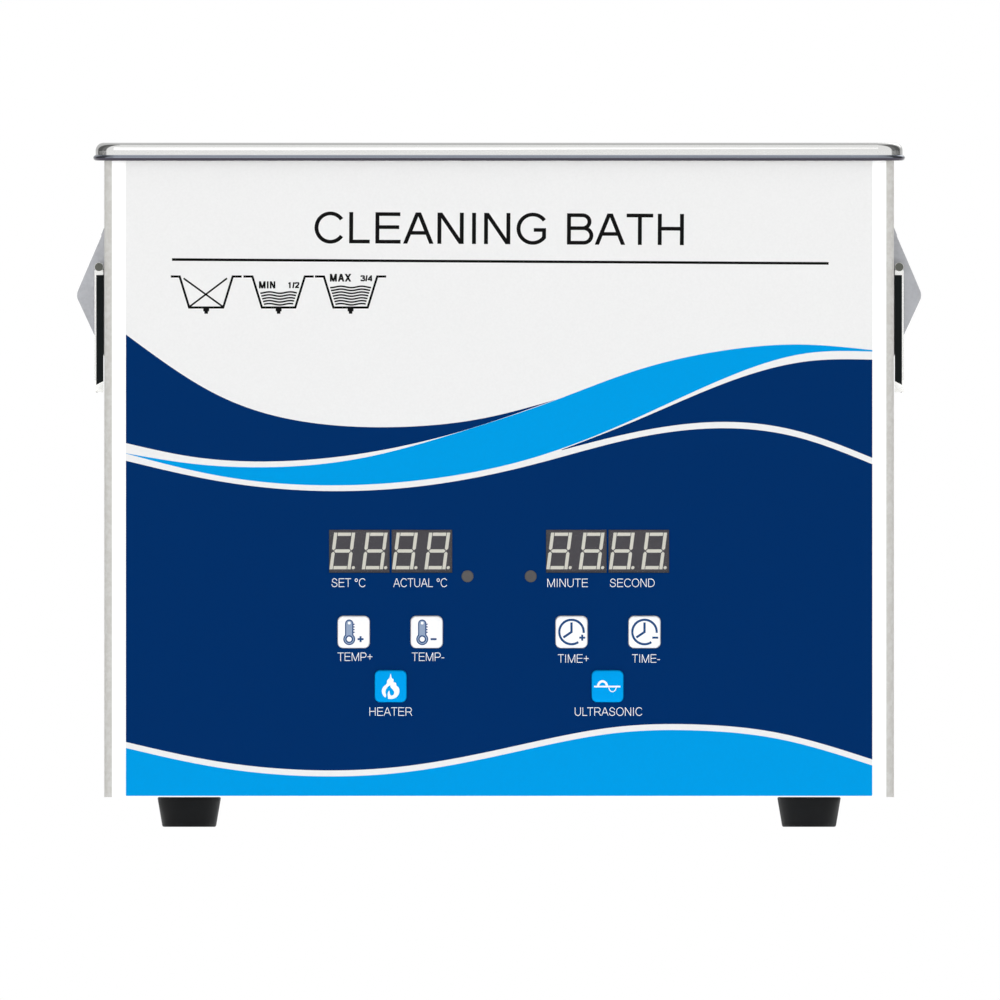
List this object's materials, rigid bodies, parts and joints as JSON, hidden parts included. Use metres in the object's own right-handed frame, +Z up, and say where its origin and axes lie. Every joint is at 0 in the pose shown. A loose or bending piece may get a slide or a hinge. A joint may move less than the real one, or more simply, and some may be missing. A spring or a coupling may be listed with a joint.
{
  "type": "ultrasonic cleaner",
  "caption": "Bench ultrasonic cleaner: stainless heated tank in a sheet housing, printed front panel with keys and displays, folding side handles and rubber feet.",
  "frame": {"origin": "centre of the footprint on the table, between the four feet", "axes": "+Z up, +X along the width towards the right handle, the printed front panel faces -Y"},
  "size_m": [0.2832, 0.1724, 0.2296],
  "materials": {
    "housing_steel": "fine vertical brushing",
    "panel_steel": "fine brushing",
    "tank_steel": "drawn, satin inside, polished rim",
    "seal_rubber": "matt foam",
    "foot_rubber": "smooth matt",
    "screw_steel": "zinc plated",
    "panel_print": "printed film, light gloss",
    "window": "clear",
    "key_white": "satin",
    "key_blue": "satin",
    "circuit_board": "solder mask",
    "display_face": "matt",
    "black_plastic": "fine grain",
    "rocker_plastic": "gloss",
    "lamp": "tinted, unlit",
    "brass": "plain",
    "aluminium": "turned or extruded",
    "piezo_ceramic": "matt, silvered faces",
    "mass_steel": "turned",
    "heater_rubber": "moulded silicone",
    "ferrite": "matt",
    "copper_wire": "lacquered",
    "capacitor_sleeve": "shrunk sleeve",
    "fan_plastic": "moulded",
    "bracket_steel": "satin",
    "bail_steel": "polished",
    "grip_black": "satin",
    "pin_steel": "plain",
    "wire": "insulation",
    "ribbon": "flat cable"
  },
  "bodies": {
    "casing": {"housing": "housing_steel", "rear_panel": "panel_steel", "base_plate": "panel_steel", "tank": "tank_steel", "rim_seal": "seal_rubber", "foot_front_left": "foot_rubber", "foot_front_right": "foot_rubber", "foot_rear_left": "foot_rubber", "foot_rear_right": "foot_rubber", "foot_screws": "screw_steel", "casing_screws": "screw_steel", "panel_overlay": "panel_print", "display_windows": "window", "control_board": "circuit_board", "display_left": "display_face", "display_right": "display_face", "tact_switches": "black_plastic", "status_leds": "lamp", "board_standoffs": "brass", "board_screws": "screw_steel", "horn_left": "aluminium", "horn_right": "aluminium", "piezo_rings_left": "piezo_ceramic", "piezo_rings_right": "piezo_ceramic", "electrodes": "brass", "back_mass_left": "mass_steel", "back_mass_right": "mass_steel", "transducer_bolts": "screw_steel", "heater_pads": "heater_rubber", "temperature_probe": "aluminium", "thermal_cutout": "black_plastic", "driver_board": "circuit_board", "heatsink": "aluminium", "power_transistors": "black_plastic", "output_transformer": "ferrite", "tuning_coil": "copper_wire", "driver_capacitors": "capacitor_sleeve", "fan_frame": "fan_plastic", "fan_screws": "screw_steel", "inlet_socket": "black_plastic", "inlet_pins": "brass", "switch_body": "black_plastic", "handle_bracket_left": "bracket_steel", "handle_bracket_right": "bracket_steel", "pivot_pins": "pin_steel", "handle_rivets": "pin_steel", "wiring_loom": "wire", "ribbon_cable": "ribbon"},
    "left_bail": {"bail_left": "bail_steel", "grip_left": "grip_black"},
    "right_bail": {"bail_right": "bail_steel", "grip_right": "grip_black"},
    "rocker": {"power_rocker": "rocker_plastic"},
    "fan": {"fan_rotor": "fan_plastic"},
    "key_temp_up_body": {"key_temp_up": "key_white"},
    "key_temp_down_body": {"key_temp_down": "key_white"},
    "key_time_up_body": {"key_time_up": "key_white"},
    "key_time_down_body": {"key_time_down": "key_white"},
    "key_heater_body": {"key_heater": "key_blue"},
    "key_ultrasonic_body": {"key_ultrasonic": "key_blue"}
  },
  "joints": [
    {"name": "left_handle_swing", "type": "hinge", "parent": "casing", "child": "left_bail", "pos_m": [-0.1343, 0, 0.1879], "axis": [0, 1, 0], "range_deg": [0, 90]},
    {"name": "right_handle_swing", "type": "hinge", "parent": "casing", "child": "right_bail", "pos_m": [0.1343, 0, 0.1879], "axis": [0, -1, 0], "range_deg": [0, 90]},
    {"name": "power_rocker_tilt", "type": "hinge", "parent": "casing", "child": "rocker", "pos_m": [0.06, 0.0799, 0.085], "axis": [-1, 0, 0], "range_deg": [0, 20]},
    {"name": "fan_spin", "type": "hinge", "parent": "casing", "child": "fan", "pos_m": [-0.05, 0.07, 0.06], "axis": [0, 1, 0], "continuous": true},
    {"name": "key_temp_up_press", "type": "slide", "parent": "casing", "child": "key_temp_up_body", "axis": [0, 1, 0], "range_m": [0, 0.0005], "stiffness_N_per_m": 2000, "springref_m": -0.0002},
    {"name": "key_temp_down_press", "type": "slide", "parent": "casing", "child": "key_temp_down_body", "axis": [0, 1, 0], "range_m": [0, 0.0005], "stiffness_N_per_m": 2000, "springref_m": -0.0002},
    {"name": "key_time_up_press", "type": "slide", "parent": "casing", "child": "key_time_up_body", "axis": [0, 1, 0], "range_m": [0, 0.0005], "stiffness_N_per_m": 2000, "springref_m": -0.0002},
    {"name": "key_time_down_press", "type": "slide", "parent": "casing", "child": "key_time_down_body", "axis": [0, 1, 0], "range_m": [0, 0.0005], "stiffness_N_per_m": 2000, "springref_m": -0.0002},
    {"name": "key_heater_press", "type": "slide", "parent": "casing", "child": "key_heater_body", "axis": [0, 1, 0], "range_m": [0, 0.0005], "stiffness_N_per_m": 2000, "springref_m": -0.0002},
    {"name": "key_ultrasonic_press", "type": "slide", "parent": "casing", "child": "key_ultrasonic_body", "axis": [0, 1, 0], "range_m": [0, 0.0005], "stiffness_N_per_m": 2000, "springref_m": -0.0002}
  ]
}
